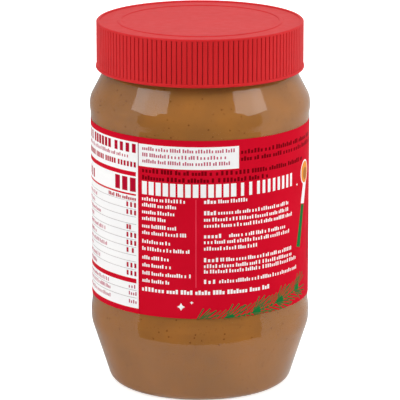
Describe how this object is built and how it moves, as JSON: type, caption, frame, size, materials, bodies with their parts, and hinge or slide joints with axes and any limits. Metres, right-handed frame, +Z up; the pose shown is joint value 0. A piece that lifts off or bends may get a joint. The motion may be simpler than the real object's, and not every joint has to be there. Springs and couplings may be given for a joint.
{
  "type": "jar of peanut butter",
  "caption": "Clear wide-mouth jar filled with smooth peanut butter, with a wrap label, a tapered foot, a sloping shoulder and a ribbed red screw lid.",
  "frame": {"origin": "middle of the flat ring that the jar stands on, at its lowest level", "axes": "+Z up along the jar's axis; the side with the label's seam and panels faces -Y"},
  "size_m": [0.1004, 0.1004, 0.1683],
  "materials": {
    "clear_jar": "clear blown plastic, glossy",
    "peanut_butter": "smooth oily brown paste with a few fine dark flecks",
    "red_lid": "red moulded plastic, satin gloss",
    "label_film": "printed film label, red ground with white, green and dark red print"
  },
  "bodies": {
    "root": {"jar": "clear_jar", "peanut_butter": "peanut_butter", "lid": "red_lid", "label": "label_film"}
  },
  "joints": []
}
